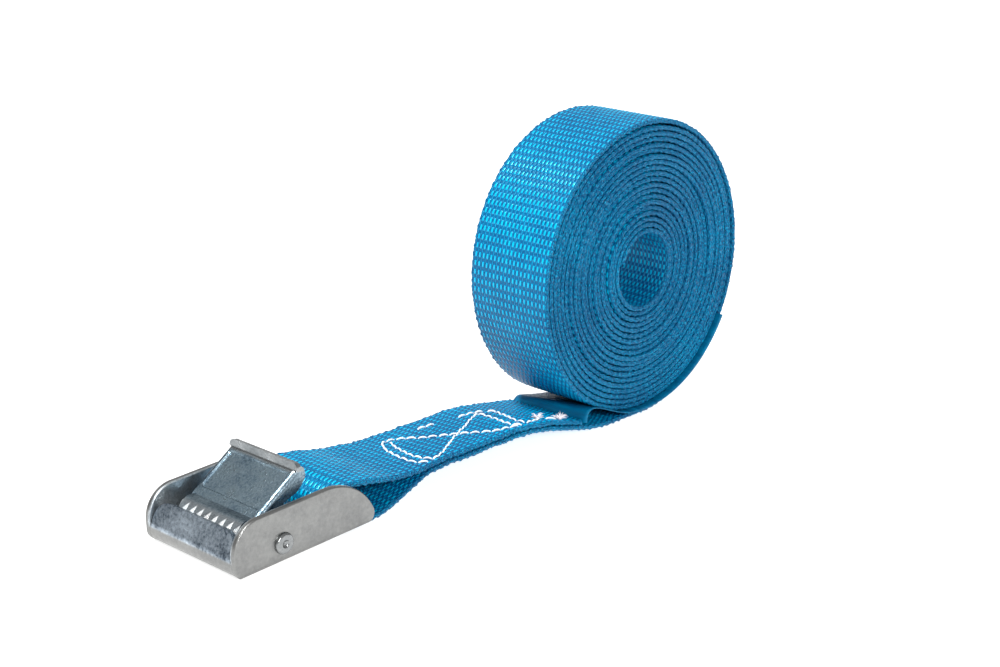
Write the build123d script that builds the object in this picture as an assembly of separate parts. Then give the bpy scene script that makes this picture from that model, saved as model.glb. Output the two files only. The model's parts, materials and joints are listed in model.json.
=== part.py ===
"""Cam buckle tie-down strap: a rolled 25 mm webbing with a sprung cam buckle on its sewn end.

Millimetres, +Z up. X runs along the strap, from the buckle (-X) to the roll (+X), Y across it.
The origin is at the middle of the bottom of the whole strap.
The buckle is drawn in its own frame, level, with its front end at x = 0 and its side plates'
lower edges at z = 0, and is then placed at the slight slope at which it lies on the webbing.
"""
from build123d import *
import os
from math import cos, radians, sin, sqrt

os.makedirs("parts", exist_ok=True)

# Webbing
WEB_WIDTH = 25.0
WEB_THICK = 1.4
LAYER_GAP = 0.05            # between two layers that are sewn together

# Roll of webbing
CONTACT_X = 47.85           # where the roll stands on the ground
ROLL_RADIUS = 38.2          # outside of the outermost turn, at the ground
TURN_STEP = 1.9             # inward step of the outermost turn, with the label under it
EYE_RADIUS = 9.3

# Label
LABEL_THICK = 0.3
LABEL_SHIFT = -1.3          # it is sewn on a little towards -Y
LABEL_SLOT = 0.5            # space that it fills between two turns
LABEL_END_ANGLE = -31.0     # where it ends, seen from the roll's centre

# Run of the webbing between roll and buckle; these places are measured from the roll's contact
RUN_LIFT = -12.0            # the lower layer leaves the ground here
RUN_LAND = -93.0            # and meets it again here
SEAM_REAR = -45.0
SEAM_FRONT = -72.0          # the two layers are level between these two
TAIL_SHARE = 0.69           # the upper layer follows the lower one this far down from the seam
SEAM_BOTTOM = 4.4           # underside of the lower layer along the seam

# Buckle frame, in the buckle's own frame
FRAME_WIDTH = 30.0
SHEET = 1.5
PLATE_HEIGHT = 12.2
NOSE_RADIUS = 7.0
FRONT_CORNER = 3.0
HEEL_RADIUS = 14.5
HEEL_START = 25.5
HEEL_CORNER = 2.5
FOLD_RADIUS = 1.2           # outside of the fold between floor and side plates
SLOT_FRONT = 5.0            # slot in the floor that the free end comes up through
SLOT_REAR = 9.8
FLOOR_REAR = 26.0
LIP_SETBACK = 0.1
LIP_KNEE = 4.1              # height at which the front lip starts to lean back
LIP_TOP = (3.3, 9.4)
LIP_SLIT = 0.2
LIP_CORNER = 4.2
EDGE_ROUND = 0.35
BAR_X = 33.0
BAR_RADIUS = 3.5
BAR_GAP = 0.3               # webbing loop around the bar, all round
ROLLED_ANGLE = 320.0        # the bar is sheet rolled this far round

# Pivot rivet
PIVOT_X = 13.1
PIVOT_Z = 4.4
PIN_RADIUS = 1.5
HEAD_RADIUS = 2.4
HEAD_HEIGHT = 0.8
DIMPLE_RADIUS = 1.1
RUNNING_GAP = 0.05

# Cam lever, in its closed place
LEVER_THICK = 1.2
LEVER_WIDTH = 22.2
DISH_DEPTH = 0.3            # the thumb plate's middle is pressed down inside a rim
DISH_RIM = 1.3
COMB_WIDTH = 19.6
TOOTH_COUNT = 8
TOOTH_LENGTH = 2.6
TOOTH_RISE = 0.95
EAR_RADIUS = 2.6
EAR_CORNERS = (((22.9, 17.6), 1.2), ((23.4, 14.9), 2.0), ((20.9, 12.2), 2.0), ((16.3, 10.9), 2.0))
LEVER_BEND = 1.5
LEVER_TIP = (21.75, 18.35)
LEVER_REAR = (21.3, 16.4)
TIP_CORNER = 1.2
LEVER_FRONT = (9.6, 9.1)
COMB_BEND = (7.7, 9.2)
COMB_TIP = (4.5, 7.7)

# Torsion spring
WIRE_RADIUS = 0.4
COIL_RADIUS = 2.1
COIL_PITCH = 0.9
COIL_TURNS = 3
UPPER_LEG = 8.2
UPPER_LEG_ANGLE = 50.0
LOWER_LEG = 8.0

# Seam thread: a bow tie between two double rows
THREAD_WIDTH = 0.5
THREAD_HEIGHT = 0.25
SEAM_X = (-71.5, -45.5)
SEAM_Y = (-9.6, 6.2)
ROW_STEP = 2.4

BUCKLE_TILT = 2.0           # the webbing under the bar lifts the buckle's rear
BUCKLE_FRONT = -85.97

INNER_HALF = FRAME_WIDTH / 2 - SHEET
BAR_HEIGHT = WEB_THICK + BAR_GAP + BAR_RADIUS     # bar's centre over the ground


def upright(face, y_low, y_high):
    """Extrude a face drawn in x and z, from y_low to y_high."""
    return Pos(0, y_low, 0) * extrude(Plane.XZ * face, amount=y_high - y_low, dir=(0, 1, 0))


def polar(centre, radius, angle):
    """Point at an angle in degrees on a circle."""
    return (centre[0] + radius * cos(radians(angle)), centre[1] + radius * sin(radians(angle)))


def arc(centre, radius, start, end):
    """Arc about a centre between two angles in degrees."""
    middle = (start + end) / 2
    return ThreePointArc(polar(centre, radius, start), polar(centre, radius, middle),
                         polar(centre, radius, end))


def offset_edge(edge, distance):
    """Parallel of one line, arc or curve, to its left for a positive distance."""
    steps = 24 if edge.geom_type == GeomType.BSPLINE else 2
    points = []
    for i in range(steps + 1):
        tangent = edge % (i / steps)
        points.append(edge @ (i / steps) + Vector(-tangent.Y, tangent.X, 0) * distance)
    if edge.geom_type == GeomType.LINE:
        return Line(points[0], points[-1])
    if edge.geom_type == GeomType.CIRCLE:
        return ThreePointArc(*points)
    start, end = edge % 0, edge % 1
    return Spline(*points, tangents=(start, end))


def ribbon(edges, thickness):
    """Face of a strip of constant thickness along a chain of edges."""
    left = [offset_edge(e, thickness / 2) for e in edges]
    right = [offset_edge(e, -thickness / 2) for e in edges]
    caps = [Line(left[0] @ 0, right[0] @ 0), Line(left[-1] @ 1, right[-1] @ 1)]
    return make_face(left + right + caps)


def fold_waste(length, radius):
    """What a fold along X at the origin takes off a square corner of material in +y, +z."""
    margin = 0.2
    block = Box(length, radius + margin, radius + margin, align=(Align.MIN, Align.MIN, Align.MIN))
    rod = Rotation(0, 90, 0) * Cylinder(radius, length, align=(Align.CENTER, Align.CENTER, Align.MIN))
    return Pos(0, -margin, -margin) * block - Pos(0, radius, radius) * rod


def side_plate_face():
    """Outline of a side plate with the rivet's hole."""
    top = PLATE_HEIGHT
    nose = (NOSE_RADIUS, top - NOSE_RADIUS)
    heel = (HEEL_START, top - HEEL_RADIUS)
    heel_end = HEEL_START + sqrt(HEEL_RADIUS ** 2 - heel[1] ** 2)
    heel_middle = polar(heel, HEEL_RADIUS, 50)
    outline = [
        Line((0, 0), (heel_end, 0)),
        ThreePointArc((heel_end, 0), heel_middle, (HEEL_START, top)),
        Line((HEEL_START, top), (NOSE_RADIUS, top)),
        arc(nose, NOSE_RADIUS, 90, 180),
        Line((0, nose[1]), (0, 0)),
    ]
    face = make_face(outline)
    face = fillet(face.vertices().sort_by_distance((0, 0))[0], FRONT_CORNER)
    face = fillet(face.vertices().sort_by_distance((heel_end, 0))[0], HEEL_CORNER)
    return face - Pos(PIVOT_X, PIVOT_Z) * Circle(PIN_RADIUS + 0.01)


def front_lip_edges():
    """Middle line of the front strip, from the slot, round the bend and up the lip."""
    half = SHEET / 2
    face_x = LIP_SETBACK + half
    strip = FilletPolyline((SLOT_FRONT, half), (face_x, half), (face_x, LIP_KNEE), LIP_TOP,
                          radius=FRONT_CORNER - half)
    return strip.edges()


def side_plate(y_low, y_high):
    """Side plate with its outline's edges rounded on both faces."""
    plate = upright(side_plate_face(), y_low, y_high)
    flat = plate.faces().filter_by(Axis.Y)
    outline = [e for face in flat for e in face.outer_wire().edges()]
    return fillet(outline, EDGE_ROUND)


def front_lip():
    """Strip from the slot round the front and up the lip, with slits beside the lip and round corners."""
    strip = upright(ribbon(front_lip_edges(), SHEET), -INNER_HALF - SHEET / 2, INNER_HALF + SHEET / 2)
    lip_half = INNER_HALF - LIP_SLIT
    for side in (-1, 1):
        slit = Box(8, LIP_SLIT + SHEET, 12, align=(Align.CENTER, Align.CENTER, Align.MIN))
        strip -= Pos(1, side * (lip_half + (LIP_SLIT + SHEET) / 2), LIP_KNEE) * slit
    top = strip.edges().group_by(Axis.Z)[-1].filter_by(Axis.Y)[0]
    corners = [e for e in strip.edges() if e.length < SHEET * 1.4 and (e @ 0.5).Z > 8
               and abs((e @ 0).Y - (e @ 1).Y) < 1e-6 and abs((e @ 0.5).Z - (top @ 0.5).Z) < 1.5]
    strip = fillet(corners, LIP_CORNER)
    return strip


def make_frame():
    """One pressed sheet: floor, side plates, front lip leaning back and rolled rear bar."""
    half = FRAME_WIDTH / 2
    frame = side_plate(-half, -INNER_HALF) + side_plate(INNER_HALF, half)
    floor_length = FLOOR_REAR - SLOT_REAR
    floor = Box(floor_length, 2 * INNER_HALF + SHEET, SHEET, align=(Align.MIN, Align.CENTER, Align.MIN))
    frame += Pos(SLOT_REAR, 0, 0) * floor
    frame += front_lip()
    rolled = arc((BAR_X, bar_local_z()), BAR_RADIUS - SHEET / 2, 250, 250 - ROLLED_ANGLE)
    frame += upright(ribbon([rolled], SHEET), -INNER_HALF - SHEET / 2, INNER_HALF + SHEET / 2)
    for side in (-1, 1):
        waste = fold_waste(FLOOR_REAR + 12, FOLD_RADIUS)
        if side > 0:
            waste = mirror(waste, Plane.XZ)
        frame -= Pos(FRONT_CORNER / 2, side * half, 0) * waste
    return frame


def make_rivet():
    """Pin through both side plates, with a peened and dimpled head outside each."""
    half = FRAME_WIDTH / 2
    rivet = Rotation(90, 0, 0) * Cylinder(PIN_RADIUS, FRAME_WIDTH)
    for side in (-1, 1):
        head = Cylinder(HEAD_RADIUS, HEAD_HEIGHT, align=(Align.CENTER, Align.CENTER, Align.MIN))
        head = fillet(head.edges().group_by(Axis.Z)[-1], HEAD_HEIGHT * 0.8)
        head -= Pos(0, 0, HEAD_HEIGHT + 0.6) * Sphere(DIMPLE_RADIUS)
        rivet += Pos(0, side * half, 0) * Rotation(-90 * side, 0, 0) * head
    return Pos(PIVOT_X, 0, PIVOT_Z) * rivet


def lever_direction():
    """Unit vector up the thumb plate, in x and z."""
    dx, dz = LEVER_REAR[0] - LEVER_FRONT[0], LEVER_REAR[1] - LEVER_FRONT[1]
    length = sqrt(dx ** 2 + dz ** 2)
    return dx / length, dz / length, length


def lever_ears():
    """Side flanges with the ears that turn on the rivet."""
    x, z = PIVOT_X, PIVOT_Z
    outline = Polyline(LEVER_FRONT, LEVER_REAR, (21.58, 17.6), *[corner for corner, radius in EAR_CORNERS],
                       (x + EAR_RADIUS, z), (x - EAR_RADIUS, z), (8.4, 8.4), close=True)
    face = make_face(outline)
    for corner, radius in EAR_CORNERS:
        face = fillet(face.vertices().sort_by_distance(corner)[0], radius)
    face = face + Pos(x, z) * Circle(EAR_RADIUS) - Pos(x, z) * Circle(PIN_RADIUS + RUNNING_GAP)
    half = LEVER_WIDTH / 2
    return upright(face, -half, -half + LEVER_THICK) + upright(face, half - LEVER_THICK, half)


def tooth_gaps():
    """V grooves that run out up the comb and leave roof-shaped teeth between them."""
    dx, dz = COMB_BEND[0] - COMB_TIP[0], COMB_BEND[1] - COMB_TIP[1]
    along = Vector(dx, 0, dz).normalized()
    up = Vector(-along.Z, 0, along.X)
    surface = Vector(COMB_TIP[0], 0, COMB_TIP[1]) + up * (LEVER_THICK / 2)
    pitch = COMB_WIDTH / TOOTH_COUNT
    gaps = []
    for i in range(TOOTH_COUNT + 1):
        middle = surface - along * 0.3 + Vector(0, -COMB_WIDTH / 2 + i * pitch, 0)
        side = Vector(0, pitch * 0.55, 0)
        lip = middle + up * 0.1
        mouth = Polyline(lip - side, lip + side, middle - up * TOOTH_RISE, close=True)
        end = Vertex(*(middle + along * (TOOTH_LENGTH + 0.3) + up * 0.1))
        gaps.append(loft([make_face(mouth), end]))
    return gaps


def make_lever():
    """Thumb plate with its raised rear edge, side flanges, and the toothed comb in front."""
    half = LEVER_WIDTH / 2
    ux, uz, plate_length = lever_direction()
    thumb = FilletPolyline(LEVER_TIP, LEVER_REAR, LEVER_FRONT, radius=LEVER_BEND)
    comb_start = (LEVER_FRONT[0] + 3 * ux, LEVER_FRONT[1] + 3 * uz)
    comb = FilletPolyline(comb_start, LEVER_FRONT, COMB_BEND, COMB_TIP, radius=0.9)
    plate = upright(ribbon(thumb.edges(), LEVER_THICK), -half, half)
    short = [e for e in plate.edges() if abs(e.length - LEVER_THICK) < 0.01]
    tip = [e for e in short if (e @ 0.5).Z > LEVER_REAR[1] + 1]
    lever = fillet(tip, TIP_CORNER) + lever_ears()
    for side in (-1, 1):
        corner = Plane(origin=(LEVER_FRONT[0] - uz * LEVER_THICK / 2, side * half,
                               LEVER_FRONT[1] + ux * LEVER_THICK / 2),
                       x_dir=(ux, 0, uz), z_dir=(uz, 0, -ux))
        waste = fold_waste(plate_length + 1, LEVER_THICK * 0.9)
        if side < 0:
            waste = mirror(waste, Plane.XZ)
        lever -= corner * Pos(-1, 0, 0) * waste
    lever += upright(ribbon(comb.edges(), LEVER_THICK), -COMB_WIDTH / 2, COMB_WIDTH / 2)
    for gap in tooth_gaps():
        lever -= gap
    middle = (plate_length + DISH_RIM) / 2
    pressed = Plane(origin=(LEVER_FRONT[0] + ux * middle - uz * LEVER_THICK / 2, 0,
                            LEVER_FRONT[1] + uz * middle + ux * LEVER_THICK / 2),
                    x_dir=(ux, 0, uz), z_dir=(-uz, 0, ux))
    panel = RectangleRounded(plate_length - 2.6 * DISH_RIM, LEVER_WIDTH - 2 * DISH_RIM, 0.8)
    lever -= pressed * extrude(panel, amount=-DISH_DEPTH, taper=40)
    return lever


def make_spring():
    """Torsion spring on the rivet: one leg on the floor, one under the thumb plate."""
    turn = COIL_TURNS + (270 - 90 - UPPER_LEG_ANGLE) / 360
    height = COIL_PITCH * turn
    helix = Helix(pitch=COIL_PITCH, height=height, radius=COIL_RADIUS)
    section = Plane(origin=helix @ 0, z_dir=helix % 0) * Circle(WIRE_RADIUS)
    spring = sweep(section, path=helix, is_frenet=True)
    rod_align = (Align.CENTER, Align.CENTER, Align.MIN)
    upper = Plane(origin=helix @ 0, z_dir=-(helix % 0)) * Cylinder(WIRE_RADIUS, UPPER_LEG, align=rod_align)
    lower = Plane(origin=helix @ 1, z_dir=helix % 1) * Cylinder(WIRE_RADIUS, LOWER_LEG, align=rod_align)
    spring = Rotation(0, 0, 90 + UPPER_LEG_ANGLE) * (spring + upper + lower)
    seat = Plane(origin=(PIVOT_X, height / 2, PIVOT_Z), x_dir=(1, 0, 0), z_dir=(0, -1, 0))
    return seat * spring


def bar_local_z():
    """Bar's height in the buckle's own frame."""
    tilt = radians(BUCKLE_TILT)
    return FRONT_CORNER + (BAR_HEIGHT - FRONT_CORNER - (BAR_X - FRONT_CORNER) * sin(tilt)) / cos(tilt)


def placed(buckle_piece):
    """Lay a buckle piece on the ground, sloping up to the rear about its rounded front corner."""
    corner = Pos(BUCKLE_FRONT + FRONT_CORNER, 0, FRONT_CORNER)
    return corner * Rotation(0, -BUCKLE_TILT, 0) * Pos(-FRONT_CORNER, 0, -FRONT_CORNER) * buckle_piece


def ground_point(x, z):
    """Where a point of the buckle's own frame lies once it is placed."""
    tilt = radians(BUCKLE_TILT)
    dx, dz = x - FRONT_CORNER, z - FRONT_CORNER
    return (BUCKLE_FRONT + FRONT_CORNER + dx * cos(tilt) - dz * sin(tilt),
            FRONT_CORNER + dx * sin(tilt) + dz * cos(tilt))


def make_roll():
    """All turns of the roll as one spiral-edged body with its eye and the label's slot."""
    step = TURN_STEP / 4
    centre = (CONTACT_X, ROLL_RADIUS)
    radius = ROLL_RADIUS
    edges = []
    for start, move in ((-90, (step, 0)), (0, (0, step)), (90, (-step, 0)), (180, (0, 0))):
        edges.append(arc(centre, radius, start, start + 90))
        centre = (centre[0] + move[0], centre[1] + move[1])
        radius -= step
    edges.append(Line(edges[-1] @ 1, edges[0] @ 0))
    face = make_face(edges) - Pos(CONTACT_X, ROLL_RADIUS + step) * Circle(EYE_RADIUS)
    slot_radius = ROLL_RADIUS - WEB_THICK - LABEL_SLOT / 2
    slot = arc((CONTACT_X, ROLL_RADIUS), slot_radius, -90.0, LABEL_END_ANGLE + 1)
    face -= ribbon([slot], LABEL_SLOT)
    return upright(face, -WEB_WIDTH / 2, WEB_WIDTH / 2)


def make_run():
    """Lower layer: from under the buckle's bar up to the seam, and down again to the roll."""
    bar_x = ground_point(BAR_X, bar_local_z())[0]
    low, high = WEB_THICK / 2, SEAM_BOTTOM + WEB_THICK / 2
    places = (0, RUN_LIFT, SEAM_REAR, SEAM_FRONT, RUN_LAND)
    contact, lift, rear, front, land = [CONTACT_X + x for x in places]
    path = [
        Line((bar_x, low), (land, low)),
        Spline((land, low), (front, high), tangents=((1, 0), (1, 0))),
        Line((front, high), (rear, high)),
        run_slope(),
        Line((lift, low), (contact, low)),
    ]
    return upright(ribbon(path, WEB_THICK), -WEB_WIDTH / 2, WEB_WIDTH / 2)


def run_slope():
    """Middle line of the lower layer where it comes down from the seam towards the roll."""
    rear = (CONTACT_X + SEAM_REAR, SEAM_BOTTOM + WEB_THICK / 2)
    lift = (CONTACT_X + RUN_LIFT, WEB_THICK / 2)
    return Spline(rear, lift, tangents=((1, 0), (1, 0)))


def make_loop():
    """Loop round the bar and the upper layer, sewn down on the lower one."""
    bar = ground_point(BAR_X, bar_local_z())
    radius = BAR_RADIUS + BAR_GAP + WEB_THICK / 2
    around = arc(bar, radius, 270, 84)
    seam_z = SEAM_BOTTOM + WEB_THICK * 1.5 + LAYER_GAP
    front, rear = CONTACT_X + SEAM_FRONT, CONTACT_X + SEAM_REAR
    path = [
        around,
        Spline(around @ 1, (front, seam_z), tangents=(around % 1, (1, 0))),
        Line((front, seam_z), (rear, seam_z)),
        offset_edge(run_slope().trim(0, TAIL_SHARE), WEB_THICK + LAYER_GAP),
    ]
    return upright(ribbon(path, WEB_THICK), -WEB_WIDTH / 2, WEB_WIDTH / 2)


def make_label():
    """Blank woven label: sewn on behind the tail, humped, then caught under the outermost turn."""
    slot_radius = ROLL_RADIUS - WEB_THICK - LABEL_SLOT / 2
    start_z = ROLL_RADIUS - slot_radius
    free = [(-21.4, 3.9), (-18.6, 5.0), (-13.5, 3.7), (-7.0, 2.2), (0, start_z)]
    hump = Spline(*[(CONTACT_X + x, z) for x, z in free], tangents=((1, 0.7), (1, 0)))
    caught = arc((CONTACT_X, ROLL_RADIUS), slot_radius, -90, LABEL_END_ANGLE)
    half = WEB_WIDTH / 2
    return upright(ribbon([hump, caught], LABEL_THICK), LABEL_SHIFT - half, LABEL_SHIFT + half)


def make_thread():
    """Rows of the seam as thin bars on the upper layer."""
    top = SEAM_BOTTOM + 2 * WEB_THICK + 2 * LAYER_GAP
    (x0, x1), (y0, y1) = SEAM_X, SEAM_Y
    rows = [((x0, y0), (x0, y1)), ((x0 + ROW_STEP, y0), (x0 + ROW_STEP, y1)),
            ((x1, y0), (x1, y1)), ((x1 - ROW_STEP, y0), (x1 - ROW_STEP, y1)),
            ((x0 + ROW_STEP, y0), (x1 - ROW_STEP, y1)), ((x0 + ROW_STEP, y1), (x1 - ROW_STEP, y0)),
            ((x0 + ROW_STEP, y1), (x1 - ROW_STEP, y1))]
    bars = Part()
    for start, end in rows:
        line = Line((CONTACT_X + start[0], start[1]), (CONTACT_X + end[0], end[1]))
        bars += extrude(ribbon([line], THREAD_WIDTH), amount=THREAD_HEIGHT)
    return Pos(0, 0, top) * bars


NODES = {
    "buckle_frame": placed(make_frame()),
    "pivot_rivet": placed(make_rivet()),
    "cam_spring": placed(make_spring()),
    "cam_lever": placed(make_lever()),
    "strap_loop": make_loop(),
    "strap_run": make_run(),
    "strap_roll": make_roll(),
    "label": make_label(),
    "seam_thread": make_thread(),
}

for name, solid in NODES.items():
    export_step(solid, "parts/" + name + ".step")

whole = Compound(children=list(NODES.values())).bounding_box()
print("box", whole.min, whole.max)
print("lever pivot", ground_point(PIVOT_X, PIVOT_Z))
print("bar centre", ground_point(BAR_X, bar_local_z()))
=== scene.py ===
import json
import math

import bpy
import numpy as np
from mathutils import Matrix, Vector


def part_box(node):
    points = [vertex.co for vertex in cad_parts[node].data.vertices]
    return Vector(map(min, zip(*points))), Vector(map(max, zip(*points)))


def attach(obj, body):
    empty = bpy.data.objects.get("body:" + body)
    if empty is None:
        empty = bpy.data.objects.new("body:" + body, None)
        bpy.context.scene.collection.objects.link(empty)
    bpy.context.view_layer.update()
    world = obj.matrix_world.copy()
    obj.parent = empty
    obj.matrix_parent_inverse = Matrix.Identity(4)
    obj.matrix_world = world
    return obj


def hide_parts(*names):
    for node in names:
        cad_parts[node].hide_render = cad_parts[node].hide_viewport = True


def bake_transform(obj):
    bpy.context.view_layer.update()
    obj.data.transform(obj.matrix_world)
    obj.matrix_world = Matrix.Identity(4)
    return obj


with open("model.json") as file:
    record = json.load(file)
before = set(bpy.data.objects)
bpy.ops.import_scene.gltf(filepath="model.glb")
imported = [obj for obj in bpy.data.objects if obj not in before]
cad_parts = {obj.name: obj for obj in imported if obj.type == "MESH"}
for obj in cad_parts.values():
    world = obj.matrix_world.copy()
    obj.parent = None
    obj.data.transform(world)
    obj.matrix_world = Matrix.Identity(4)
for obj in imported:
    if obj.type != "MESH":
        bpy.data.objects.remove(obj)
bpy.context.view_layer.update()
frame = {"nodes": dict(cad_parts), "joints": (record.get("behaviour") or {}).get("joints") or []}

# A cam buckle tie-down strap lying on a pale floor: rolled blue webbing, sewn end and zinc buckle.
# Lengths are millimetres unless a comment says metres; everything in Blender is metres.
MM = 0.001

# Webbing
WEB_HALF_WIDTH = 12.45
WEB_HALF_THICK = 0.6
CAD_THICK = 1.4
LAYER_GAP = 0.05
REPEAT = 2.15             # length of one weave repeat
FLAT_COLUMNS = 38         # warp yarns across one face, in pairs of a wide and a narrow one
WIDE_SHARE = 0.64         # a wide yarn's part of its pair
EDGE_COLUMNS = 3          # warp yarns round one edge
FLOAT_HEIGHT = 0.09       # how far a wide yarn stands out where it is on top
NARROW_FLOAT = 0.03
NARROW_DROP = 0.04        # how much lower a narrow yarn lies
GROOVE_DEPTH = 0.07
FACE_UNEVEN = 0.01        # random unevenness of the yarns on the faces
EDGE_UNEVEN = 0.13        # and of those round the edges
STEPS_SEEN = 5            # mesh steps along one repeat
STEPS_HIDDEN = 4          # the same where only the edges are seen
YARNS_KEPT = 2            # yarns beside each edge that are modelled there

# Places along the run, measured from where the roll stands on the ground
LIFT, SEAM_REAR, SEAM_FRONT, LAND = -12.0, -45.0, -72.0, -93.0
CREST = 84                # highest place over the buckle's bar, as an angle in degrees
TAIL_SHARE = 0.69         # the upper layer follows the lower one this far down from the seam
SEAM_BOTTOM = 4.4
TWIST = 0.8               # rise of the near edge and fall of the far edge along the seam
BOW = 1.4                 # how far the run bends sideways along the seam
SLACK = 1.0               # how far the loop stands up off the buckle's bar
WAVES = 0.09              # small waves of the edges

# Spans of these four: where each starts, reaches its full size, leaves it, and ends
TWIST_SPAN = (-84, -66, -36, -12)
BOW_SPAN = (-98, -68, -44, -4)
SLACK_SPAN = (-105, -98, -95, -83)
WAVE_SPAN = (-94, -84, -26, -20)

# Roll
TURNS = 19.7
OUTER_STEP = 1.9          # radial step of the outermost turn, which lies over the label
TURN_STEP = 1.42
TURN_UNEVEN = 0.07        # how far the turns stray in and out
OUTER_SHARE = 0.985       # length of the outermost turn over that of the roll's circle
EYE_LENGTH = 75           # webbing in the innermost turn, which is seen through the eye
MEET_EARLY = 150          # outer and inner turns' pieces meet this far before half of their length

# Seeds of the random numbers
TURN_SEED, YARN_SEED, LABEL_SEED, STITCH_SEED, FRAY_SEED = 3, 5, 11, 21, 8


def mm_box(node):
    """Lowest and highest corners of a CAD node in millimetres."""
    low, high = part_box(node)
    return np.array(low) / MM, np.array(high) / MM


def joint_place(name):
    """Position of a joint in millimetres."""
    found = [j for j in frame["joints"] if j["name"] == name]
    return np.array(found[0]["pos_m"]) / MM


# ---------------------------------------------------------------- webbing's path

def hermite(start, end, start_slope, end_slope, count=200):
    """Smooth curve in x and z between two points with given directions."""
    start, end = np.array(start, float), np.array(end, float)
    pull = np.linalg.norm(end - start)
    a = np.array(start_slope, float) / np.linalg.norm(start_slope) * pull
    b = np.array(end_slope, float) / np.linalg.norm(end_slope) * pull
    t = np.linspace(0, 1, count)[:, None]
    return ((2 * t**3 - 3 * t**2 + 1) * start + (t**3 - 2 * t**2 + t) * a
            + (3 * t**2 - 2 * t**3) * end + (t**3 - t**2) * b)


def circle(centre, radius, start, end, count=200):
    """Arc in x and z between two angles in degrees."""
    angle = np.radians(np.linspace(start, end, count))
    return np.stack([centre[0] + radius * np.cos(angle), centre[1] + radius * np.sin(angle)], 1)


def wander(length, period, count, seed):
    """Smooth random curve with values of about -1 to 1."""
    rng = np.random.default_rng(seed)
    knots = rng.uniform(-1, 1, int(length / period) + 4)
    at = np.linspace(0, length / period, count)
    i = at.astype(int)
    f = at - i
    f = f * f * (3 - 2 * f)
    return knots[i] * (1 - f) + knots[i + 1] * f


_, roll_high = mm_box("strap_roll")
bar_x, _, bar_z = joint_place("buckle_swing")
step = OUTER_STEP / 4
CONTACT_X = roll_high[0] - (roll_high[2] + step) / 2
roll_centre = np.array([CONTACT_X + step / 2, (roll_high[2] + step) / 2 + step / 2])
OUTER_RADIUS = roll_centre[1]
mid = CAD_THICK / 2


def slope_path():
    """Middle of the lower layer from the seam's rear down to the ground."""
    rear, lift = CONTACT_X + SEAM_REAR, CONTACT_X + LIFT
    return hermite((rear, SEAM_BOTTOM + mid), (lift, mid), (1, 0), (1, 0))


def raised(points, distance):
    """Parallel of a line that runs towards +x, on its upper side."""
    way = np.gradient(points, axis=0)
    way /= np.linalg.norm(way, axis=1)[:, None]
    return points + distance * np.stack([-way[:, 1], way[:, 0]], 1)


def upper_path():
    """From the cut tail, over the seam, to the crest over the buckle's bar."""
    seam_z = SEAM_BOTTOM + CAD_THICK * 1.5 + LAYER_GAP
    rear, front = CONTACT_X + SEAM_REAR, CONTACT_X + SEAM_FRONT
    crest = circle((bar_x, bar_z), bar_z - mid, CREST, CREST, 1)[0]
    fall = math.radians(90 - CREST)
    slope = slope_path()
    slope = raised(slope[:int(len(slope) * TAIL_SHARE)], CAD_THICK + LAYER_GAP)
    return np.vstack([
        slope[::-1],
        hermite((rear, seam_z), (front, seam_z), (-1, 0), (-1, 0))[1:],
        hermite((front, seam_z), crest, (-1, 0), (-math.cos(fall), math.sin(fall)))[1:],
    ])


def lower_path():
    """Round the bar and along the ground to the roll."""
    front, rear = CONTACT_X + SEAM_FRONT, CONTACT_X + SEAM_REAR
    land, lift = CONTACT_X + LAND, CONTACT_X + LIFT
    high = SEAM_BOTTOM + mid
    return np.vstack([
        circle((bar_x, bar_z), bar_z - mid, CREST, 270),
        hermite((bar_x, mid), (land, mid), (1, 0), (1, 0))[1:],
        hermite((land, mid), (front, high), (1, 0), (1, 0))[1:],
        hermite((front, high), (rear, high), (1, 0), (1, 0))[1:],
        slope_path()[1:],
        hermite((lift, mid), (roll_centre[0], mid), (1, 0), (1, 0))[1:],
    ])


def roll_path():
    """Spiral from the ground inwards; the first turn stands off by the label's thickness."""
    count = 24000
    turn = np.linspace(0, TURNS, count)
    radius = OUTER_RADIUS - mid - OUTER_STEP * np.minimum(turn, 1)
    radius = radius - TURN_STEP * np.maximum(turn - 1, 0)
    loose = np.clip(turn, 0, 1) * np.clip((TURNS - turn) / 2, 0, 1)
    radius = radius + TURN_UNEVEN * loose * wander(3000, 35, count, TURN_SEED)
    angle = np.radians(-90) + turn * 2 * np.pi
    x, z = radius * np.cos(angle), radius * np.sin(angle)
    return np.stack([roll_centre[0] + x, roll_centre[1] + z], 1)


class Path:
    """A line in x and z that can be read at any length along it."""

    REACH = 0.15          # its direction is read this far before and behind a point

    def __init__(self, points, start=0.0):
        steps = np.linalg.norm(np.diff(points, axis=0), axis=1)
        self.points = points
        self.length = np.concatenate([[0], np.cumsum(steps)]) + start
        self.start, self.end = self.length[0], self.length[-1]

    def at(self, s):
        x = np.interp(s, self.length, self.points[:, 0])
        z = np.interp(s, self.length, self.points[:, 1])
        return np.stack([x, z], 1)

    def frame(self, s):
        """Points and normals; the normal is on the right of the direction of travel."""
        ahead, behind = self.at(s + self.REACH), self.at(s - self.REACH)
        way = ahead - behind
        way /= np.linalg.norm(way, axis=1)[:, None]
        return self.at(s), np.stack([way[:, 1], -way[:, 0]], 1)


upper = Path(upper_path())
lower = Path(lower_path(), upper.end)
spiral = Path(roll_path(), lower.end)


def hill(x, span):
    """Smooth rise and fall, 0 to 1, over a span that is measured from the roll's contact."""
    foot, top, far_top, far_foot = span
    at = x - CONTACT_X
    rise = np.clip((at - foot) / (top - foot), 0, 1)
    fall = np.clip((far_foot - at) / (far_foot - far_top), 0, 1)
    share = np.minimum(rise, fall)
    return share * share * (3 - 2 * share)


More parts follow.
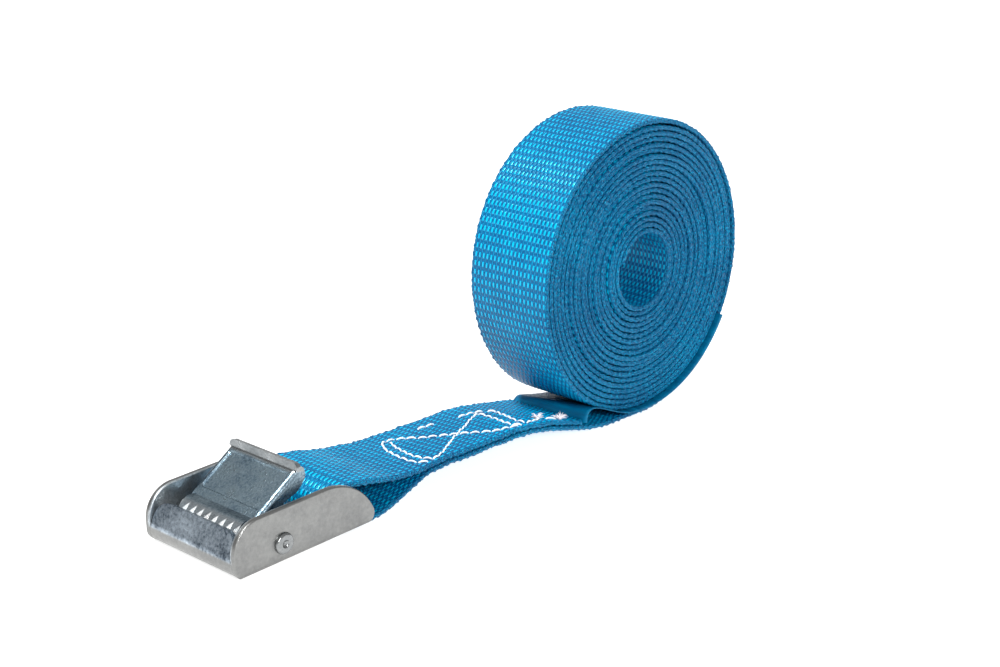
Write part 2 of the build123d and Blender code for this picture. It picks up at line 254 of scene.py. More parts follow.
def settle(x, y, z):
    """Give points of the straight run its twist, its slack, its wavy edges and its sideways bow."""
    twisted = z - TWIST * hill(x, TWIST_SPAN) * y / WEB_HALF_WIDTH
    slack = SLACK * hill(x, SLACK_SPAN) * np.clip((z - 5) / 5, 0, 1)
    ripple = np.sin(x / 1.9 + z) + np.sin(x / 3.3 - 0.8 * z) + np.sin(x / 1.1)
    waves = WAVES * hill(x, WAVE_SPAN) * ripple
    return y + BOW * hill(x, BOW_SPAN) + waves, twisted + slack


# ---------------------------------------------------------------- webbing's mesh

def section():
    """Points round the webbing's section: y, height, outward direction and column.

    A column is a whole number in the groove before a yarn, and a half more on the yarn's middle.
    """
    flat = WEB_HALF_WIDTH - WEB_HALF_THICK
    pair = 4 * flat / FLAT_COLUMNS
    places = (0, WIDE_SHARE / 2, WIDE_SHARE, (1 + WIDE_SHARE) / 2)
    rows = []
    for face in (0, 1):
        sign = 1 if face == 0 else -1
        for k in range(FLAT_COLUMNS * 2):
            y = (-flat + pair * (k // 4 + places[k % 4])) * sign
            rows.append((y, WEB_HALF_THICK * sign, 0, sign, k / 2))
        for k in range(EDGE_COLUMNS * 2):
            angle = math.radians(90 - 90 * k / EDGE_COLUMNS)
            y, h = math.cos(angle) * sign, math.sin(angle) * sign
            side, height = flat * sign + WEB_HALF_THICK * y, WEB_HALF_THICK * h
            rows.append((side, height, y, h, FLAT_COLUMNS + k / 2))
    rows = np.array(rows)
    half = FLAT_COLUMNS + EDGE_COLUMNS
    rows[len(rows) // 2:, 4] += half
    return rows


def edge_only(rows):
    """The section's points with only a few yarns kept on each side of an edge."""
    flat = WEB_HALF_WIDTH - WEB_HALF_THICK
    pitch = 2 * flat / FLAT_COLUMNS
    return rows[np.abs(rows[:, 0]) > flat - pitch * YARNS_KEPT - 1e-6]


def webbing_mesh(name, path, start, end, full=True, lateral=None):
    """Closed strip of woven webbing along part of a path."""
    rows = section() if full else edge_only(section())
    steps = STEPS_SEEN if full else STEPS_HIDDEN
    count = max(8, int(round((end - start) / REPEAT * steps)))
    s = np.linspace(start, end, count + 1)
    centre, normal = path.frame(s)
    y, h, out_y, out_h, column = rows.T
    whole = np.floor(column + 1e-6)
    middle = (column - whole) > 0.25
    half = FLAT_COLUMNS + EDGE_COLUMNS
    at_edge = (whole % half) >= FLAT_COLUMNS
    narrow = (whole % 2 == 1) & ~at_edge
    wave = np.cos(2 * np.pi * s[:, None] / REPEAT + np.pi * (whole % half % 2)[None, :])
    strength = np.where(narrow, NARROW_FLOAT, FLOAT_HEIGHT)
    uneven = np.random.default_rng(YARN_SEED).uniform(-1, 1, (count + 1, len(rows)))
    uneven = uneven * np.where(at_edge, EDGE_UNEVEN, FACE_UNEVEN)
    yarn = strength * wave - np.where(narrow, NARROW_DROP, 0.0) + uneven
    out = np.where(middle[None, :], yarn, -GROOVE_DEPTH)
    side = y[None, :] + out * out_y
    up = h[None, :] + out * out_h
    x = centre[:, :1] + normal[:, :1] * up
    z = centre[:, 1:] + normal[:, 1:] * up
    if lateral is None:
        side, z = settle(x, side, z)
    else:
        side = side + lateral(s)[:, None]
    verts = np.stack([x, side, z], -1).reshape(-1, 3) * MM
    n = len(rows)
    faces, uvs = [], []
    column_next = np.append(column[1:], 2 * half)
    for i in range(count):
        u0, u1 = s[i] / REPEAT, s[i + 1] / REPEAT
        for j in range(n):
            k = (j + 1) % n
            faces.append((i * n + j, i * n + k, (i + 1) * n + k, (i + 1) * n + j))
            v0, v1 = column[j], column_next[j]
            uvs += [(u0, v0), (u0, v1), (u1, v1), (u1, v0)]
    for ring, flip in ((0, True), (count, False)):
        for a in range(n // 2 - 1):
            face = (ring * n + a, ring * n + a + 1, ring * n + n - 2 - a, ring * n + n - 1 - a)
            faces.append(face[::-1] if flip else face)
            uvs += [(s[ring] / REPEAT, 0.5)] * 4
    return mesh_object(name, verts, faces, uvs)


def mesh_object(name, verts, faces, uvs=None, smooth=True):
    """New object in the scene from vertices in metres, faces and one UV pair per face corner."""
    mesh = bpy.data.meshes.new(name)
    mesh.from_pydata([tuple(v) for v in verts], [], faces)
    if uvs is not None:
        layer = mesh.uv_layers.new(name="weave")
        layer.data.foreach_set("uv", np.array(uvs, np.float32).ravel())
    mesh.validate()
    mesh.update()
    if smooth:
        mesh.polygons.foreach_set("use_smooth", [True] * len(mesh.polygons))
    obj = bpy.data.objects.new(name, mesh)
    bpy.context.scene.collection.objects.link(obj)
    return obj


# ---------------------------------------------------------------- materials

class Nodes:
    """Short way to build a material's node tree."""

    def __init__(self, name):
        self.material = bpy.data.materials.new(name)
        self.material.use_nodes = True
        self.tree = self.material.node_tree
        self.shader = self.tree.nodes["Principled BSDF"]

    def add(self, kind, inputs=(), **settings):
        node = self.tree.nodes.new(kind)
        for key, value in settings.items():
            setattr(node, key, value)
        for key, value in dict(inputs).items():
            self.put(value, node.inputs[key])
        return node

    def put(self, value, socket):
        if isinstance(value, bpy.types.NodeSocket):
            self.tree.links.new(value, socket)
        else:
            socket.default_value = value

    def math(self, operation, a, b=0.0):
        return self.add("ShaderNodeMath", {0: a, 1: b}, operation=operation).outputs[0]

    def times(self, product, *factors):
        for factor in factors:
            product = self.math("MULTIPLY", product, factor)
        return product

    def plus(self, total, *terms):
        for term in terms:
            total = self.math("ADD", total, term)
        return total

    def mix(self, factor, a, b):
        """Colour between a, at factor 0, and b, at factor 1."""
        node = self.add("ShaderNodeMix", {0: factor, 6: a, 7: b}, data_type="RGBA")
        return node.outputs[2]

    def ramp(self, value, stops):
        """Colour ramp; its first and last stop come first, then those between them."""
        node = self.add("ShaderNodeValToRGB", {0: value})
        for i, (place, colour) in enumerate(stops):
            if i < 2:
                element = node.color_ramp.elements[i]
            else:
                element = node.color_ramp.elements.new(place)
            element.position = place
            element.color = colour
        return node.outputs[0]

    def smooth(self, value, low, high):
        """0 below low, 1 above high and a smooth rise between them."""
        node = self.add("ShaderNodeMapRange", {"Value": value, "From Min": low, "From Max": high},
                        interpolation_type="SMOOTHSTEP")
        return node.outputs[0]

    def noise(self, vector, scale, detail=2.0, rough=0.5):
        inputs = {"Vector": vector, "Scale": scale, "Detail": detail, "Roughness": rough}
        return self.add("ShaderNodeTexNoise", inputs).outputs[0]

    def bump(self, height, distance, strength, normal=None):
        inputs = {"Height": height, "Distance": distance, "Strength": strength}
        if normal is not None:
            inputs["Normal"] = normal
        return self.add("ShaderNodeBump", inputs).outputs[0]

    def place(self):
        """Position on the object in metres."""
        return self.add("ShaderNodeTexCoord").outputs["Object"]

    def weave(self):
        """A woven piece's UV coordinates, and their two parts: along it and across or round it."""
        uv = self.add("ShaderNodeUVMap", uv_map="weave").outputs[0]
        parts = self.add("ShaderNodeSeparateXYZ", {0: uv}).outputs
        return uv, parts[0], parts[1]

    def vector(self, x, y):
        return self.add("ShaderNodeCombineXYZ", {0: x, 1: y}).outputs[0]

    def set(self, **values):
        for key, value in values.items():
            self.put(value, self.shader.inputs[key.replace("_", " ")])


def grey(value):
    return (value, value, value, 1)


# Webbing's colour from the grooves to the crowns of its yarns, ends first: its blue, with painted
# shade at the dark end and painted highlight at the bright end
WEB_DYE_AND_PAINTED_LIGHT = [(0.0, (0.0, 0.035, 0.13, 1)), (1.0, (0.0, 0.47, 0.74, 1)),
               (0.3, (0.0, 0.095, 0.25, 1)), (0.6, (0.0, 0.235, 0.47, 1))]
WEB_SHINE = (0.3, 0.88, 1.0, 1)
LABEL_DYE_AND_PAINTED_SHADE = [(0.3, (0.0, 0.07, 0.18, 1)), (0.75, (0.0, 0.2, 0.38, 1))]
LABEL_SHINE = (0.3, 0.82, 1.0, 1)
LABEL_RIB, LABEL_WEFT = 0.28, 0.32      # spacing of the label's fine weave
PLIES = 9.0                             # twists of the thread along one stitch
FULL_TURN = 2 * math.pi


def webbing_material():
    """Satin blue yarns, with painted highlight where the wide ones lie on top and painted shade on
    the narrow ones and in the grooves between them.
    """
    m = Nodes("webbing_weave")
    _, along, across = m.weave()

    # Which yarn this is, and how far it stands up here
    column = m.math("FLOOR", m.math("MODULO", across, float(FLAT_COLUMNS + EDGE_COLUMNS)))
    odd = m.math("MODULO", column, 2.0)
    edge = m.math("GREATER_THAN", column, FLAT_COLUMNS - 0.5)
    phase = m.plus(along, m.times(odd, 0.5))
    height = m.smooth(m.math("COSINE", m.times(phase, FULL_TURN)), -0.75, 0.35)
    round_yarn = m.math("SINE", m.times(m.math("FRACT", across), math.pi))
    crown = m.smooth(round_yarn, 0.1, 0.75)

    # Brightness of the faces: painted highlight on the dashes of the floating yarns, painted shade
    # on the narrow yarns and in the grooves, and each dash a little different in tone
    cell = m.vector(m.math("FLOOR", m.plus(phase, 0.5)), m.math("FLOOR", across))
    chance = m.add("ShaderNodeTexWhiteNoise", {"Vector": cell}, noise_dimensions="3D").outputs[0]
    painted_dash_highlight = m.times(height, crown, m.math("SUBTRACT", 1.0, m.times(odd, 0.6)))
    face_tone_and_painted_light = m.plus(m.times(painted_dash_highlight, 0.62), 0.2, m.times(chance, 0.12))

    # Brightness of the edges: painted glints on the irregular beads, brightest where their knots
    # stand up
    beads = m.noise(m.vector(m.times(along, 2.4), m.times(across, 1.3)), 1.5, 3.0, 0.75)
    edge_painted_glints = m.ramp(beads, [(0.4, grey(0.0)), (0.66, grey(0.9))])

    # Both, with large faint patches
    patches = m.math("SUBTRACT", m.noise(m.place(), 45.0, 3.0), 0.5)
    level = m.plus(m.times(face_tone_and_painted_light, m.math("SUBTRACT", 1.0, edge)), m.times(edge_painted_glints, edge),
                   m.times(patches, 0.5))

    # Relief: rounded yarns, knotted edges and fine fibres
    rounded = m.times(m.math("SQRT", round_yarn), m.plus(0.45, m.times(height, 0.55)))
    knots = m.times(beads, edge, 2.6)
    yarns = m.bump(m.plus(rounded, knots), 0.0002, 0.9)
    fibres = m.noise(m.vector(m.times(along, 1.2), m.times(across, 9.0)), 1.0, 2.0)
    m.set(Base_Color=m.ramp(level, WEB_DYE_AND_PAINTED_LIGHT),
          Roughness=m.ramp(level, [(0.0, grey(0.46)), (1.0, grey(0.22))]),
          Normal=m.bump(fibres, 0.00002, 0.7, yarns))
    m.shader.inputs["Specular IOR Level"].default_value = 0.5
    m.shader.inputs["Specular Tint"].default_value = WEB_SHINE
    return m.material


def label_material():
    """Smooth satin tape with a very fine weave and faint lengthwise wrinkles, with painted shade
    and highlight along the wrinkles and the weave.
    """
    m = Nodes("label_satin")
    uv, along, across = m.weave()
    rib = m.math("SINE", m.times(along, FULL_TURN / LABEL_RIB))
    weft = m.math("SINE", m.times(across, FULL_TURN / LABEL_WEFT))
    fine = m.times(rib, weft)
    stretched = m.add("ShaderNodeMapping", {"Vector": uv, "Scale": (0.5, 0.09, 1.0)}).outputs[0]
    shade = m.noise(stretched, 1.0, 3.0)
    # Painted shade and highlight: the colour follows the wrinkles and the fine weave
    m.set(Base_Color=m.ramp(m.plus(m.times(fine, 0.08), shade), LABEL_DYE_AND_PAINTED_SHADE),
          Roughness=m.ramp(shade, [(0.3, grey(0.46)), (0.7, grey(0.32))]),
          Normal=m.bump(m.plus(m.times(fine, 0.3), shade), 0.00006, 0.5))
    m.shader.inputs["Specular Tint"].default_value = LABEL_SHINE
    return m.material


def thread_material(name, shadow, light):
    """Twisted sewing thread, with painted shade between its plies."""
    m = Nodes(name)
    _, along, around = m.weave()
    turn = m.plus(m.times(along, PLIES), around)
    # Painted shade: darker where the twist dips in between the plies
    plies = m.plus(m.times(m.math("SINE", m.times(turn, FULL_TURN)), 0.5), 0.5)
    fuzz = m.noise(m.place(), 2600.0, 2.0)
    level = m.plus(m.times(plies, 0.6), m.times(fuzz, 0.5))
    m.set(Base_Color=m.mix(level, shadow, light),
          Roughness=m.ramp(fuzz, [(0.3, grey(0.65)), (0.7, grey(0.5))]),
          Normal=m.bump(level, 0.0001, 0.7))
    m.shader.inputs["Sheen Weight"].default_value = 0.2
    return m.material


def zinc_material(name, light, dark, rough, spangle, streak, areas=()):
    """Zinc plate: fine mottling, faint streaks and small pits, and some areas of other tones; some
    of these areas hold painted light, painted shade and painted highlight.

    Each area is a function for its share at a point, and its dark and its light tone.
    """
    m = Nodes(name)
    place = m.place()
    grains = m.noise(place, spangle, 3.0, 0.65)
    patches = m.noise(place, 170.0, 3.0)
    mixed = m.plus(m.times(grains, 0.55), m.times(patches, 0.45))
    level = m.ramp(mixed, [(0.36, grey(0.0)), (0.64, grey(1.0))])
    stretched = m.add("ShaderNodeMapping", {"Vector": place, "Scale": streak}).outputs[0]
    streaks = m.noise(stretched, 500.0, 2.0, 0.7)
    worn = m.ramp(streaks, [(0.62, grey(0.0)), (0.78, grey(0.6))])
    colour = m.mix(worn, m.mix(level, dark, light), light)
    x, y, z = m.add("ShaderNodeSeparateXYZ", {0: place}).outputs
    for share, area_dark, area_light in areas:
        colour = m.mix(share(m, x, y, z), colour, m.mix(level, area_dark, area_light))
    surface = m.plus(m.times(grains, 0.8), m.times(streaks, 0.2))
    m.set(Base_Color=colour,
          Roughness=m.ramp(mixed, [(0.3, grey(rough + 0.14)), (0.7, grey(rough - 0.06))]),
          Normal=m.bump(surface, 0.00014, 0.6))
    m.shader.inputs["Metallic"].default_value = 1.0
    return m.material


def floor_material():
    """White floor that shines a little, so that it stays white beside the object."""
    m = Nodes("floor")
    colour = m.mix(m.noise(m.place(), 3.0), grey(0.49), grey(0.51))
    m.set(Base_Color=colour, Roughness=0.7)
    m.shader.inputs["Specular IOR Level"].default_value = 0.2
    m.shader.inputs["Emission Color"].default_value = grey(1.0)
    m.shader.inputs["Emission Strength"].default_value = 0.8
    return m.material


def paint(obj, material):
    obj.data.materials.clear()
    obj.data.materials.append(material)


# ---------------------------------------------------------------- webbing's pieces

web = webbing_material()


def sideways(s):
    """Small sideways drift of the turns as the webbing was rolled up by hand."""
    t = (s - spiral.start) / (spiral.end - spiral.start)
    drift = 0.22 * np.sin(s / 31.0) + 0.16 * np.sin(s / 11.3 + 2) + 0.12 * np.sin(s / 72.0 + 1)
    return drift * np.clip(t * 12, 0, 1)


def add_webbing(name, path, start, end, full=True, lateral=None):
    """One piece of the webbing, on the strap's body."""
    obj = webbing_mesh(name, path, start, end, full, lateral)
    paint(obj, web)
    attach(obj, "strap")
    return obj


first_turn = spiral.start + 2 * math.pi * OUTER_RADIUS * OUTER_SHARE
eye_turn = spiral.end - EYE_LENGTH
half_way = (first_turn + eye_turn) / 2 - MEET_EARLY
loop = add_webbing("webbing_upper", upper, upper.start, upper.end)
run = add_webbing("webbing_run", lower, lower.start, lower.end)
outer = add_webbing("webbing_outer_turn", spiral, spiral.start, first_turn, True, sideways)
turns_a = add_webbing("webbing_outer_turns", spiral, first_turn, half_way, False, sideways)
turns_b = add_webbing("webbing_inner_turns", spiral, half_way, eye_turn, False, sideways)
eye = add_webbing("webbing_eye_turn", spiral, eye_turn, spiral.end, True, sideways)
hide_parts("strap_loop")
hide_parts("strap_run")
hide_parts("strap_roll")

# ---------------------------------------------------------------- label

LABEL_SHIFT = -1.3
LABEL_HALF_THICK = 0.13
LABEL_ROOM = 0.28         # room for it under the outermost turn
LABEL_TWIST = 1.3
LABEL_END = -31.0         # degrees, seen from the roll's centre
LABEL_ACROSS = 25         # points across one face
LABEL_STEPS = 260
LABEL_SPAN = (-24, -21, -18, -4)

# The label's free end: along the strap from the roll's contact, and height
LABEL_FREE = [(-21.9, 2.6), (-21.5, 4.1), (-20.2, 5.2), (-18.4, 5.2), (-15.0, 4.3), (-11.0, 3.1),
              (-7.5, 2.3), (-4.0, 1.85)]


def smooth_line(points, count=30):
    """Rounded line through a few points, with evenly spread samples between each two."""
    points = np.array(points, float)
    padded = np.vstack([2 * points[0] - points[1], points, 2 * points[-1] - points[-2]])
    t = np.linspace(0, 1, count, endpoint=False)[:, None]
    spans = []
    for a, b, c, d in zip(padded, padded[1:], padded[2:], padded[3:]):
        spans.append(0.5 * (2 * b + (c - a) * t + (2 * a - 5 * b + 4 * c - d) * t**2
                            + (3 * b - a - 3 * c + d) * t**3))
    return np.vstack(spans + [points[-1:]])


def add_label(material):
    """Blank tape: caught between the layers, humped over the cut end, then under the outer turn."""
    slot_radius = roll_high[2] / 2 + step - CAD_THICK - LABEL_ROOM
    hump = smooth_line([(CONTACT_X + x, z) for x, z in LABEL_FREE])
    caught = circle(roll_centre, slot_radius, -90, LABEL_END, 160)
    tape = Path(np.vstack([hump, caught]))
    count, width = LABEL_STEPS, LABEL_ACROSS
    s = np.linspace(tape.start, tape.end, count + 1)
    centre, normal = tape.frame(s)
    across = np.linspace(-1, 1, width)
    wrinkle = np.random.default_rng(LABEL_SEED).uniform(-0.05, 0.05, (count + 1, width))
    wrinkle = (wrinkle + np.roll(wrinkle, 1, 0) + np.roll(wrinkle, 2, 0)) / 3
    verts, faces, uvs = [], [], []
    ring = [(a, 1) for a in across] + [(a, -1) for a in across[::-1]]
    loose = hill(centre[:, 0], LABEL_SPAN)
    for i in range(count + 1):
        for k, (a, side) in enumerate(ring):
            j = k if k < width else 2 * width - 1 - k
            thick = LABEL_HALF_THICK * side * (0.55 if abs(a) == 1 else 1)
            x, z = centre[i] - normal[i] * (thick + wrinkle[i, j] * loose[i])
            y = LABEL_SHIFT + a * (WEB_HALF_WIDTH + 0.05) + BOW * 0.6 * loose[i]
            verts.append((x * MM, y * MM, (z - LABEL_TWIST * loose[i] * a) * MM))
    n = len(ring)
    for i in range(count):
        for j in range(n):
            k = (j + 1) % n
            faces.append((i * n + j, (i + 1) * n + j, (i + 1) * n + k, i * n + k))
            v0, v1 = ring[j][0] * WEB_HALF_WIDTH, ring[k][0] * WEB_HALF_WIDTH
            uvs += [(s[i], v0), (s[i + 1], v0), (s[i + 1], v1), (s[i], v1)]
    for i, flip in ((0, False), (count, True)):
        for j in range(n // 2 - 1):
            face = (i * n + j, i * n + j + 1, i * n + n - 2 - j, i * n + n - 1 - j)
            faces.append(face[::-1] if flip else face)
            uvs += [(s[i], 0.0)] * 4
    label = mesh_object("label_tape", verts, faces, uvs)
    paint(label, material)
    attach(label, "strap")
    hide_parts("label")


# ---------------------------------------------------------------- seam

STITCH_LENGTH = 2.2
STITCH_GAP = 0.25
STITCH_RADIUS = 0.25
STITCH_POINTS = 9
STITCH_SINK, STITCH_ARCH = 0.3, 0.5     # depth of its ends, and its rise above them
THREAD_LIFT = 0.06        # how far the webbing's crowns stand above its plain thickness

# Lines of the seam: along the strap from the roll's contact, and across it
SEAM_LINES = [
    [(-72.5, 6.6), (-74.6, 2.5), (-76.0, -3.5), (-75.6, -7.8), (-73.4, -9.9)],
    [(-70.0, 6.6), (-71.6, 2.8), (-73.0, -2.4), (-72.9, -6.4), (-71.6, -9.3)],
    [(-72.0, -9.7), (-69.0, -9.2), (-63.6, -6.2), (-56.0, -2.0), (-50.5, 0.7), (-45.5, 3.5),
     (-42.2, 4.7)],
    [(-72.5, 6.6), (-70.4, 7.6), (-67.0, 6.4), (-62.5, 2.2), (-57.0, -1.4), (-52.8, -4.9),
     (-49.5, -7.6), (-46.0, -8.8), (-42.8, -9.6)],
    [(-59.5, 8.2), (-54.0, 7.7)],
    [(-47.2, 6.7), (-43.2, 6.3), (-39.4, 5.6)],
    [(-38.6, 5.0), (-37.2, 3.4), (-38.0, 0.8), (-38.9, -2.6), (-39.9, -6.0), (-39.8, -8.8)],
    [(-42.2, 4.7), (-42.0, 1.6), (-42.4, -1.8), (-43.1, -5.0), (-43.2, -8.0), (-41.8, -9.7)],
    [(-39.6, -9.3), (-35.6, -8.6), (-33.2, -7.6)],
    [(-32.0, -8.0), (-29.0, -9.2)],
]
# Frayed ends: the same two places, reach and number of fibres
THREAD_ENDS = [(-33.0, -7.0, 3.2, 60), (-27.6, -9.2, 3.8, 95)]

upper_x, upper_z = np.flip(upper.points[:, 0]), np.flip(upper.points[:, 1])


def on_seam(x, y):
    """Height of the upper layer's top surface."""
    tilt = TWIST * hill(x, TWIST_SPAN) * (y - BOW * hill(x, BOW_SPAN)) / WEB_HALF_WIDTH
    return np.interp(x, upper_x, upper_z) + WEB_HALF_THICK + THREAD_LIFT - tilt


def add_tube(points, radii, mesh, sides=6):
    """Append a closed tube along points (mm) to a dict of verts, faces and UVs."""
    points = np.array(points, float)
    way = np.gradient(points, axis=0)
    way /= np.linalg.norm(way, axis=1)[:, None] + 1e-9
    side = np.cross(way, (0, 0, 1.0))
    side /= np.linalg.norm(side, axis=1)[:, None] + 1e-9
    lift = np.cross(side, way)
    first = len(mesh["verts"])
    for p, a, b, r in zip(points, side, lift, radii):
        for k in range(sides):
            angle = 2 * math.pi * k / sides
            mesh["verts"].append(tuple((p + r * (a * math.cos(angle) + b * math.sin(angle))) * MM))
    count = len(points)
    for i in range(count - 1):
        u0, u1 = i / (count - 1), (i + 1) / (count - 1)
        for k in range(sides):
            n = (k + 1) % sides
            here, there = first + i * sides, first + (i + 1) * sides
            v0, v1 = k / sides, (k + 1) / sides
            mesh["faces"].append((here + k, here + n, there + n, there + k))
            mesh["uvs"] += [(u0, v0), (u0, v1), (u1, v1), (u1, v0)]
    for i, order in ((0, range(sides - 1, -1, -1)), (count - 1, range(sides))):
        mesh["faces"].append(tuple(first + i * sides + k for k in order))
        mesh["uvs"] += [(float(i > 0), k / sides) for k in order]


def add_stitches(material):
    """Seam: one small arched stitch after another along each line."""
    rng = np.random.default_rng(STITCH_SEED)
    mesh = {"verts": [], "faces": [], "uvs": []}
    swell = np.sin(np.linspace(0, math.pi, STITCH_POINTS))
    arch = -STITCH_SINK + STITCH_ARCH * swell ** 0.5
    for line in SEAM_LINES:
        flat = smooth_line([(CONTACT_X + x, y) for x, y in line], 24)
        way = np.concatenate([[0], np.cumsum(np.linalg.norm(np.diff(flat, axis=0), axis=1))])
        number = max(1, round(way[-1] / (STITCH_LENGTH + STITCH_GAP)))
        pitch = way[-1] / number
        for i in range(number):
            jitter = rng.uniform(-0.12, 0.12, 2)
            begin, end = i * pitch + STITCH_GAP / 2, (i + 1) * pitch - STITCH_GAP / 2
            s = np.linspace(begin, end, STITCH_POINTS)
            x = np.interp(s, way, flat[:, 0]) + jitter[0]
            y = np.interp(s, way, flat[:, 1]) + jitter[1]
            radii = STITCH_RADIUS * (0.75 + 0.3 * swell) * rng.uniform(0.85, 1.15)
            add_tube(np.stack([x, y, on_seam(x, y) + arch], 1), radii, mesh)
    seam = mesh_object("seam_stitches", mesh["verts"], mesh["faces"], mesh["uvs"])
    paint(seam, material)
    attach(seam, "strap")
    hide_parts("seam_thread")


def add_thread_ends(material):
    """Two frayed ends of the seam's thread, each a small brush of fine fibres."""
    rng = np.random.default_rng(FRAY_SEED)
    mesh = {"verts": [], "faces": [], "uvs": []}
    for x0, y0, reach, number in THREAD_ENDS:
        x0 += CONTACT_X
        z0 = float(on_seam(x0, y0)) - 0.1
        for _ in range(number):
            angle = rng.uniform(-0.9, 0.9) + rng.choice([0.0, math.pi * 0.8])
            length = reach * rng.uniform(0.45, 1.0)
            rise = rng.uniform(0.1, 0.75)
            curl = rng.uniform(-1.0, 1.0)
            t = np.linspace(0, 1, 7)
            bend = angle + curl * t
            x = x0 + length * t * np.cos(bend) * 0.6 + rng.uniform(-0.5, 0.5)
            y = y0 + length * t * np.sin(bend) * 0.55 + rng.uniform(-0.35, 0.35)
            z = z0 + length * rise * np.sin(t * 2.0) * 0.55
            add_tube(np.stack([x, y, z], 1), 0.11 * (1.15 - t), mesh, 4)
    ends = mesh_object("thread_ends", mesh["verts"], mesh["faces"], mesh["uvs"])
    paint(ends, material)
    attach(ends, "strap")


add_label(label_material())
add_stitches(thread_material("thread_white", (0.55, 0.68, 0.8, 1), (0.95, 0.97, 1.0, 1)))
add_thread_ends(thread_material("thread_frayed", (0.72, 0.66, 0.72, 1), (0.97, 0.93, 0.95, 1)))

# ---------------------------------------------------------------- buckle

# Areas of other tones, some of them painted light and shade, in metres: each starts at the first
# number and is full at the second
LIP_DEPTH = (-0.0815, -0.0823)          # x, between the lip's rear and its front face
LIP_WIDTH = (0.0136, 0.0131)            # y, either side
PLATE_INSIDE = (0.0142, 0.0138)         # y, either side
ABOVE_FLOOR = (0.0036, 0.0044)          # z
COMB_DEPTH = (-0.0785, -0.0797)         # x
TIP_HEIGHT = (0.0169, 0.0174)           # z
TOOTH_PITCH = 0.00245
TEETH_X = 0.0815                        # the tips are this far in front of the origin
# The bright flanks are a painted highlight
TEETH_SLOPE = 1.6 / 0.0025              # how fast the bright flanks narrow away from the tips


def lip_painted_reflection_share(m, x, y, z):
    """1 on the front lip's upper panel, between the side plates, which is painted bluer and more
    mottled: painted reflection.
    """
    beside = m.smooth(m.math("ABSOLUTE", y), *LIP_WIDTH)
    return m.times(m.smooth(x, *LIP_DEPTH), beside, m.smooth(z, *ABOVE_FLOOR))


def inner_face_painted_light_share(m, x, y, z):
    """1 on the inner faces of the side plates, which are painted lighter there: painted light."""
    return m.times(m.smooth(m.math("ABSOLUTE", y), *PLATE_INSIDE), m.smooth(z, *ABOVE_FLOOR))


def comb_share(m, x, y, z):
    """1 on the comb."""
    return m.smooth(x, *COMB_DEPTH)


def teeth_painted_highlight_share(m, x, y, z):
    """1 on the cut flanks between the comb's teeth, which narrow away from the tips; they are
    painted near white: painted highlight.
    """
    groove = m.math("COSINE", m.times(y, FULL_TURN / TOOTH_PITCH))
    away = m.times(m.plus(x, TEETH_X), TEETH_SLOPE)
    return m.times(comb_share(m, x, y, z), m.smooth(m.math("SUBTRACT", groove, away), -0.4, 0.2))


def tip_painted_shade_share(m, x, y, z):
    """1 on the upright tip of the thumb plate, which is painted a flat darker grey: painted shade.
    """
    return m.smooth(z, *TIP_HEIGHT)


plates = zinc_material(
    "zinc_frame", light=(0.265, 0.268, 0.262, 1), dark=(0.21, 0.213, 0.212, 1),
    rough=0.36, spangle=1300.0, streak=(0.25, 1.0, 3.0),
    # Painted light: the inner faces of the side plates are painted lighter
    areas=[(inner_face_painted_light_share, (0.25, 0.28, 0.3, 1), (0.62, 0.67, 0.7, 1)),
           # Painted reflection: the lip's panel is painted bluer and more mottled
           (lip_painted_reflection_share, (0.05, 0.07, 0.095, 1), (0.5, 0.58, 0.66, 1))])
lever = zinc_material(
    "zinc_lever", light=(0.33, 0.43, 0.49, 1), dark=(0.05, 0.08, 0.11, 1),
    rough=0.28, spangle=1900.0, streak=(1.0, 0.3, 1.0),
    # Painted shade: the upright tip is painted a flat darker grey
    areas=[(tip_painted_shade_share, (0.2, 0.22, 0.23, 1), (0.34, 0.36, 0.37, 1)),
           (comb_share, (0.2, 0.23, 0.25, 1), (0.4, 0.44, 0.47, 1)),
           # Painted highlight: near-white flanks between the teeth
           (teeth_painted_highlight_share, (0.8, 0.87, 0.9, 1), (1.0, 1.0, 1.0, 1))])
rivet = zinc_material(
    "zinc_rivet", light=(0.28, 0.29, 0.29, 1), dark=(0.18, 0.19, 0.2, 1),
    rough=0.22, spangle=1500.0, streak=(1.0, 1.0, 1.0))
wire = zinc_material(
    "spring_wire", light=(0.6, 0.6, 0.62, 1), dark=(0.4, 0.4, 0.42, 1),
    rough=0.3, spangle=1500.0, streak=(1.0, 1.0, 0.2))
for node, material in (("buckle_frame", plates), ("cam_lever", lever), ("pivot_rivet", rivet)):
    paint(frame["nodes"][node], material)


def add_spring(material):
    """Torsion spring: a copy of the CAD spring's mesh, baked in place, with the CAD node hidden.
    """
    spring = bpy.data.objects.new("torsion_spring", frame["nodes"]["cam_spring"].data.copy())
    bpy.context.scene.collection.objects.link(spring)
    paint(spring, material)
    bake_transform(spring)
    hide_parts("cam_spring")


add_spring(wire)

# ---------------------------------------------------------------- floor, light, camera

FLOOR_HALF = 6.0          # metres
SUNS = {"key": ((-0.38, 0.22, 0.9), 3.7), "fill": ((-0.35, -0.8, 0.45), 2.0)}
SUN_SIZE = 12             # degrees, for soft shadows
DARK_TOWARDS = (-0.35, 0.75, 0.5)
DARK_EDGE, DARK_MIDDLE = (0.55, 1.0), (0.95, 0.3)     # cosine from there, and brightness
WORLD_STRENGTH = 0.5
BACKDROP = 2.1            # with the strength above, just over white

# The photo's camera: place in metres, angles in radians, lens and sensor in millimetres
CAMERA_PLACE = (-0.2973, -0.2874, 0.1651)
YAW, PITCH, ROLL = 0.8166, 0.3158, 0.0022
LENS, SENSOR = 66.2, 36.0


def add_floor():
    size = FLOOR_HALF
    verts = [(-size, -size, 0), (size, -size, 0), (size, size, 0), (-size, size, 0)]
    floor = mesh_object("floor", verts, [(0, 1, 2, 3)], smooth=False)
    paint(floor, floor_material())


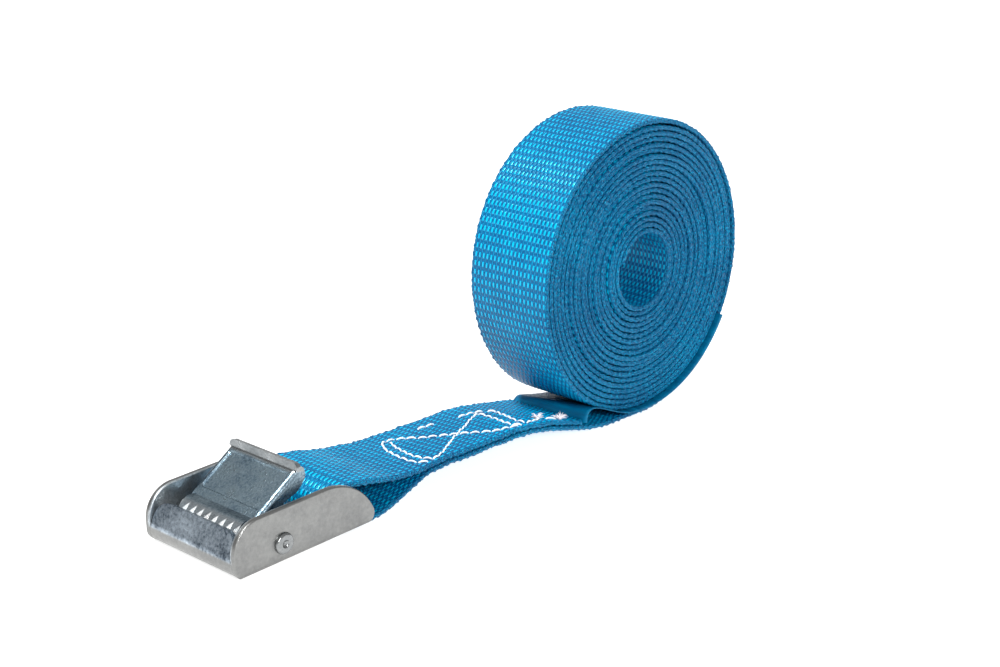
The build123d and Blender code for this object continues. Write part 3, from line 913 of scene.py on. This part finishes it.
def add_sun(name, towards_light, irradiance):
    data = bpy.data.lights.new(name, "SUN")
    data.energy = irradiance
    data.angle = math.radians(SUN_SIZE)
    light = bpy.data.objects.new(name, data)
    light.rotation_euler = Vector(towards_light).to_track_quat("Z", "Y").to_euler()
    bpy.context.scene.collection.objects.link(light)


def add_world():
    """Even pale surroundings, darker in one area high behind; the camera sees them as white."""
    world = bpy.data.worlds.new("studio")
    world.use_nodes = True
    bpy.context.scene.world = world
    tree = world.node_tree
    background = tree.nodes["Background"]
    place = tree.nodes.new("ShaderNodeTexCoord")
    towards = tree.nodes.new("ShaderNodeVectorMath")
    towards.operation = "DOT_PRODUCT"
    towards.inputs[1].default_value = Vector(DARK_TOWARDS).normalized()
    ramp = tree.nodes.new("ShaderNodeValToRGB")
    tree.links.new(place.outputs["Generated"], towards.inputs[0])
    tree.links.new(towards.outputs["Value"], ramp.inputs[0])
    seen = tree.nodes.new("ShaderNodeLightPath").outputs["Is Camera Ray"]
    mixed = tree.nodes.new("ShaderNodeMix")
    mixed.data_type = "RGBA"
    tree.links.new(seen, mixed.inputs[0])
    tree.links.new(ramp.outputs[0], mixed.inputs[6])
    mixed.inputs[7].default_value = grey(BACKDROP)
    tree.links.new(mixed.outputs[2], background.inputs[0])
    for element, (cosine, brightness) in zip(ramp.color_ramp.elements, (DARK_EDGE, DARK_MIDDLE)):
        element.position = cosine
        element.color = grey(brightness)
    background.inputs[1].default_value = WORLD_STRENGTH


def add_camera():
    ahead = Vector((math.sin(YAW) * math.cos(PITCH), math.cos(YAW) * math.cos(PITCH),
                    -math.sin(PITCH)))
    level = Vector((math.cos(YAW), -math.sin(YAW), 0))
    above = level.cross(ahead)
    right = level * math.cos(ROLL) + above * math.sin(ROLL)
    up = above * math.cos(ROLL) - level * math.sin(ROLL)
    data = bpy.data.cameras.new("camera")
    data.sensor_width = SENSOR
    data.lens = LENS
    data.clip_start = 0.01
    camera = bpy.data.objects.new("camera", data)
    turn = Matrix((right, up, -ahead)).transposed()
    camera.matrix_world = Matrix.Translation(CAMERA_PLACE) @ turn.to_4x4()
    bpy.context.scene.collection.objects.link(camera)
    bpy.context.scene.camera = camera


add_floor()
add_world()
for name, (towards_light, irradiance) in SUNS.items():
    add_sun(name, towards_light, irradiance)
add_camera()
bpy.context.scene.view_settings.view_transform = "Standard"
